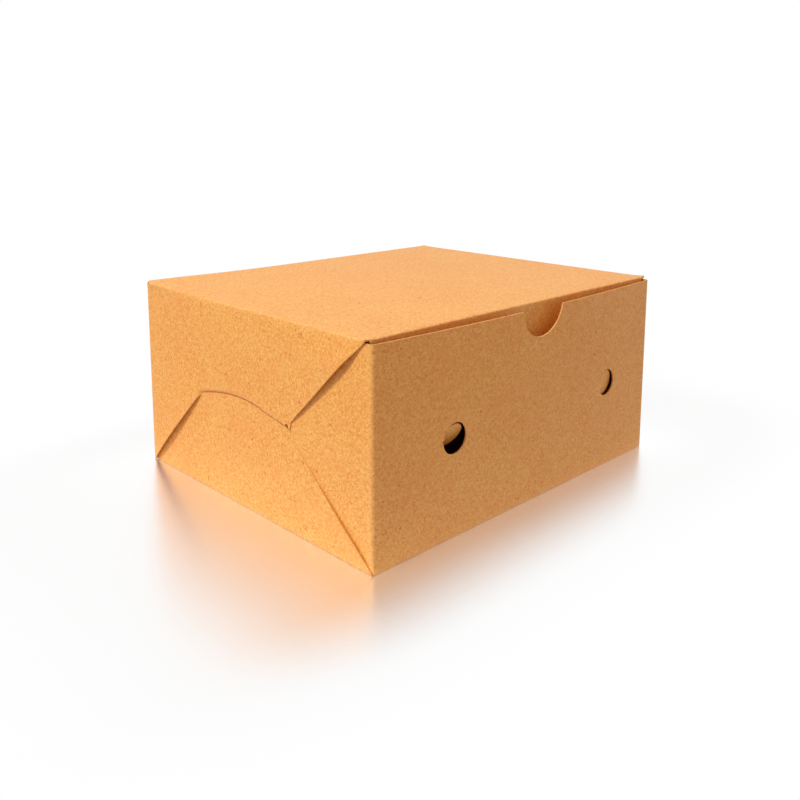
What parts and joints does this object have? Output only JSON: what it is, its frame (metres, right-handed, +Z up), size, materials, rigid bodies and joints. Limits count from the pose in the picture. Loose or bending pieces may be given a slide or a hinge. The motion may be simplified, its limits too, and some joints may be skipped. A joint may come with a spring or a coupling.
{
  "type": "snack box",
  "caption": "Kraft board snack box with a hinged cover, hooked side wings, tuck flap, thumb notch and vent holes; holds takeaway food.",
  "frame": {"origin": "middle of the floor's underside, on the surface the closed box stands on", "axes": "+X to the right along the front wall, +Y from the front wall to the back, +Z up"},
  "size_m": [0.15, 0.125, 0.07],
  "materials": {
    "kraft_board": "matte uncoated paper board"
  },
  "bodies": {
    "base": {"base_tray": "kraft_board"},
    "cover": {"hinged_cover": "kraft_board"}
  },
  "joints": [
    {"name": "cover_hinge", "type": "hinge", "parent": "base", "child": "cover", "pos_m": [0, 0.06225, 0.00025], "axis": [-1, 0, 0], "range_deg": [0, 90]}
  ]
}
